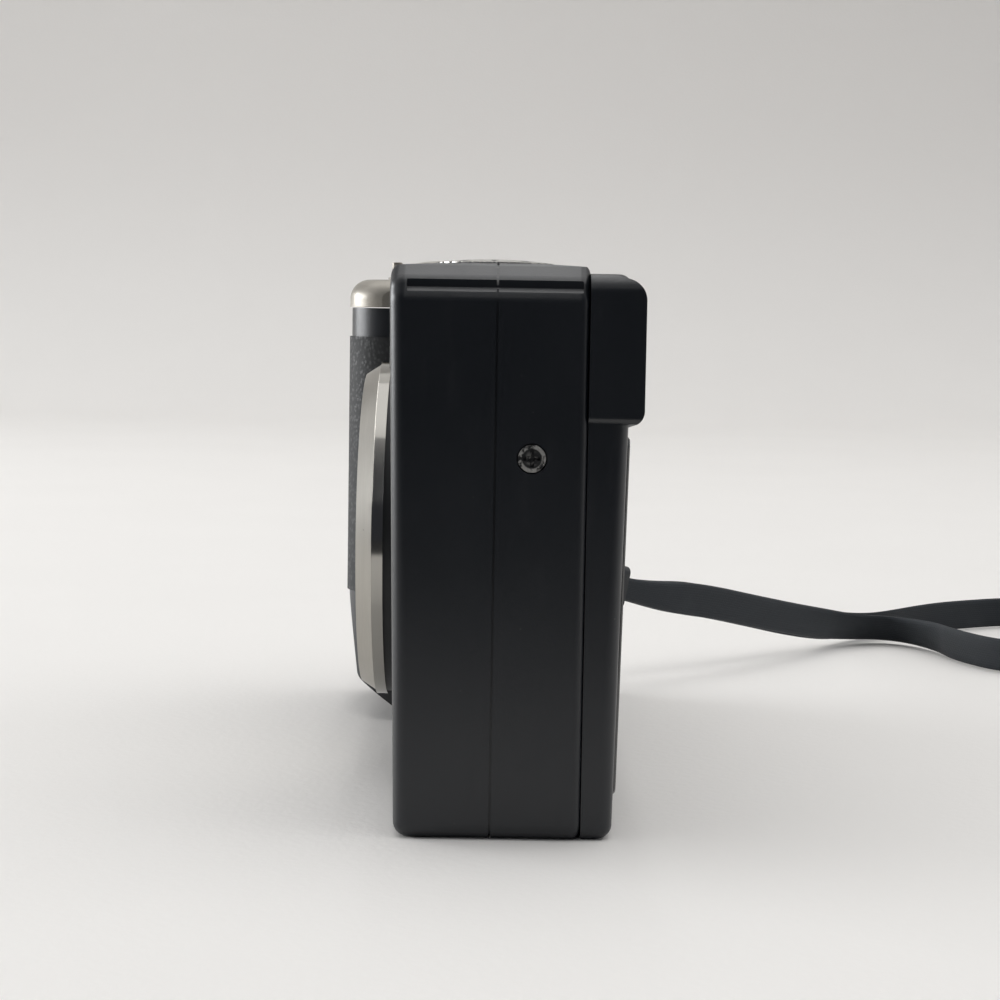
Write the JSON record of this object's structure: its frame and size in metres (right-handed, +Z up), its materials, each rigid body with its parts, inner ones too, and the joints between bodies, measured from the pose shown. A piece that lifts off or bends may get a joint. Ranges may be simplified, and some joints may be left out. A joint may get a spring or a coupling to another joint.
{
  "type": "compact zoom camera",
  "caption": "Small digital camera with a retracting zoom lens, hand grip, rear screen and keys, doors for battery and sockets, and a woven wrist strap.",
  "frame": {"origin": "centre of the mouth of the tripod socket, on the flat base under the lens axis", "axes": "+Z up; the lens looks along -Y; +X towards the flat side away from the hand grip"},
  "size_m": [0.1772, 0.1465, 0.0667],
  "materials": {
    "case_black": "satin black moulded plastic with a fine grain",
    "silver_paint": "warm silver paint",
    "grip_rubber": "soft matt rubber",
    "screen_glass": "polished hard cover",
    "dark_panel": "smooth dark panel",
    "silver_metal": "turned and brushed, with a bright edge",
    "inner_black": "plain black moulding",
    "cam_plastic": "slippery grey moulding",
    "barrel_metal": "fine turned metal",
    "blade_black": "matt black sheet",
    "lens_glass": "coated glass",
    "clear_glass": "clear moulding",
    "steel": "plain sheet or turned steel",
    "gear_plastic": "natural moulded plastic",
    "circuit_green": "varnished board",
    "lamp_plastic": "tinted clear moulding",
    "cell_sleeve": "plain shrink sleeve",
    "card_plastic": "plain card with no label",
    "screw_black": "blackened steel, worn at the rim",
    "strap_fabric": "woven nylon",
    "key_grey": "smooth moulded key"
  },
  "bodies": {
    "body": {"front_cover": "case_black", "middle_shell": "case_black", "back_cover": "case_black", "grip_cap": "silver_paint", "grip_rubber": "grip_rubber", "screen_cover": "screen_glass", "screen_panel": "dark_panel", "lens_base_ring": "case_black", "lens_ring": "silver_metal", "lens_base": "inner_black", "fixed_barrel": "inner_black", "zoom_motor": "steel", "image_sensor": "dark_panel", "chassis": "steel", "main_board": "circuit_green", "key_board": "circuit_green", "flash_board": "circuit_green", "flash_capacitor": "inner_black", "finder_window": "clear_glass", "finder_tube": "inner_black", "finder_eyepiece": "clear_glass", "flash_window": "clear_glass", "flash_reflector": "silver_metal", "flash_tube": "clear_glass", "focus_lamp": "lamp_plastic", "battery_cells": "cell_sleeve", "battery_holder": "inner_black", "battery_contacts": "steel", "memory_card": "card_plastic", "card_slot": "steel", "hinge_pins": "steel", "tripod_socket": "steel", "connector_jack": "inner_black", "case_screws": "screw_black", "strap_bar": "steel", "strap_ferrule": "case_black", "strap_cord": "strap_fabric", "strap_webbing": "strap_fabric"},
    "cam_ring": {"cam_ring": "cam_plastic"},
    "outer_barrel": {"outer_barrel": "barrel_metal"},
    "inner_barrel": {"inner_barrel": "barrel_metal", "barrier_cap": "silver_metal", "front_lens": "lens_glass"},
    "upper_blade": {"upper_blade": "blade_black"},
    "lower_blade": {"lower_blade": "blade_black"},
    "focus_group": {"focus_group": "inner_black"},
    "motor_pinion": {"motor_pinion": "gear_plastic"},
    "mode_dial": {"mode_dial": "silver_metal"},
    "zoom_lever": {"zoom_lever": "silver_paint"},
    "shutter_button": {"shutter_button": "silver_metal"},
    "power_button": {"power_button": "silver_paint"},
    "ok_key": {"ok_key": "key_grey"},
    "right_key": {"right_key": "key_grey"},
    "up_key": {"up_key": "key_grey"},
    "left_key": {"left_key": "key_grey"},
    "down_key": {"down_key": "key_grey"},
    "display_key": {"display_key": "key_grey"},
    "menu_key": {"menu_key": "key_grey"},
    "battery_door": {"battery_door": "case_black"},
    "connector_door": {"connector_door": "case_black"}
  },
  "joints": [
    {"name": "cam_ring_turn", "type": "hinge", "parent": "body", "child": "cam_ring", "pos_m": [0, 0, 0.0307], "axis": [0, -1, 0], "range_deg": [0, 100]},
    {"name": "outer_barrel_slide", "type": "slide", "parent": "body", "child": "outer_barrel", "axis": [0, -1, 0], "range_m": [0, 0.011]},
    {"name": "inner_barrel_slide", "type": "slide", "parent": "outer_barrel", "child": "inner_barrel", "axis": [0, -1, 0], "range_m": [0, 0.0095]},
    {"name": "upper_blade_swing", "type": "hinge", "parent": "inner_barrel", "child": "upper_blade", "pos_m": [0.0115, -0.0192, 0.0307], "axis": [0, 1, 0], "range_deg": [0, 36]},
    {"name": "lower_blade_swing", "type": "hinge", "parent": "inner_barrel", "child": "lower_blade", "pos_m": [-0.0115, -0.0192, 0.0307], "axis": [0, 1, 0], "range_deg": [0, 36]},
    {"name": "motor_pinion_turn", "type": "hinge", "parent": "body", "child": "motor_pinion", "pos_m": [0.01867, 0, 0.01203], "axis": [0, -1, 0], "range_deg": [-450, 0]},
    {"name": "focus_slide", "type": "slide", "parent": "body", "child": "focus_group", "axis": [0, -1, 0], "range_m": [0, 0.0025]},
    {"name": "mode_dial_turn", "type": "hinge", "parent": "body", "child": "mode_dial", "pos_m": [-0.013, -0.0055, 0.066], "axis": [0, 0, 1], "continuous": true},
    {"name": "zoom_lever_turn", "type": "hinge", "parent": "body", "child": "zoom_lever", "pos_m": [-0.043, -0.014, 0.065], "axis": [0, 0, 1], "range_deg": [-25, 25], "stiffness_Nm_per_rad": 0.01},
    {"name": "shutter_press", "type": "slide", "parent": "body", "child": "shutter_button", "axis": [0, 0, -1], "range_m": [0, 0.0012], "stiffness_N_per_m": 400, "springref_m": -0.0004},
    {"name": "power_press", "type": "slide", "parent": "body", "child": "power_button", "axis": [0, 0, -1], "range_m": [0, 0.0004], "stiffness_N_per_m": 600, "springref_m": -0.0002},
    {"name": "ok_key_press", "type": "slide", "parent": "body", "child": "ok_key", "axis": [0, -0.9998, 0.0209], "range_m": [0, 0.0004], "stiffness_N_per_m": 600, "springref_m": -0.0002},
    {"name": "right_key_press", "type": "slide", "parent": "body", "child": "right_key", "axis": [0, -0.9998, 0.0209], "range_m": [0, 0.0004], "stiffness_N_per_m": 600, "springref_m": -0.0002},
    {"name": "up_key_press", "type": "slide", "parent": "body", "child": "up_key", "axis": [0, -0.9998, 0.0209], "range_m": [0, 0.0004], "stiffness_N_per_m": 600, "springref_m": -0.0002},
    {"name": "left_key_press", "type": "slide", "parent": "body", "child": "left_key", "axis": [0, -0.9998, 0.0209], "range_m": [0, 0.0004], "stiffness_N_per_m": 600, "springref_m": -0.0002},
    {"name": "down_key_press", "type": "slide", "parent": "body", "child": "down_key", "axis": [0, -0.9998, 0.0209], "range_m": [0, 0.0004], "stiffness_N_per_m": 600, "springref_m": -0.0002},
    {"name": "display_key_press", "type": "slide", "parent": "body", "child": "display_key", "axis": [0, -0.9998, 0.0209], "range_m": [0, 0.0004], "stiffness_N_per_m": 600, "springref_m": -0.0002},
    {"name": "menu_key_press", "type": "slide", "parent": "body", "child": "menu_key", "axis": [0, -0.9998, 0.0209], "range_m": [0, 0.0004], "stiffness_N_per_m": 600, "springref_m": -0.0002},
    {"name": "battery_door_hinge", "type": "hinge", "parent": "body", "child": "battery_door", "pos_m": [-0.0247, -0.0055, 0.00095], "axis": [0, -1, 0], "range_deg": [0, 90]},
    {"name": "connector_door_hinge", "type": "hinge", "parent": "body", "child": "connector_door", "pos_m": [-0.0533, 0.0031, 0.046], "axis": [0, 0, -1], "range_deg": [0, 90]}
  ],
  "couplings": [
    {"joint": "cam_ring_turn", "follows": "outer_barrel_slide", "rad_per_m": 158.67},
    {"joint": "inner_barrel_slide", "follows": "outer_barrel_slide", "ratio": 0.86364},
    {"joint": "upper_blade_swing", "follows": "outer_barrel_slide", "rad_per_m": 57.12},
    {"joint": "lower_blade_swing", "follows": "outer_barrel_slide", "rad_per_m": 57.12},
    {"joint": "motor_pinion_turn", "follows": "outer_barrel_slide", "rad_per_m": -714}
  ]
}
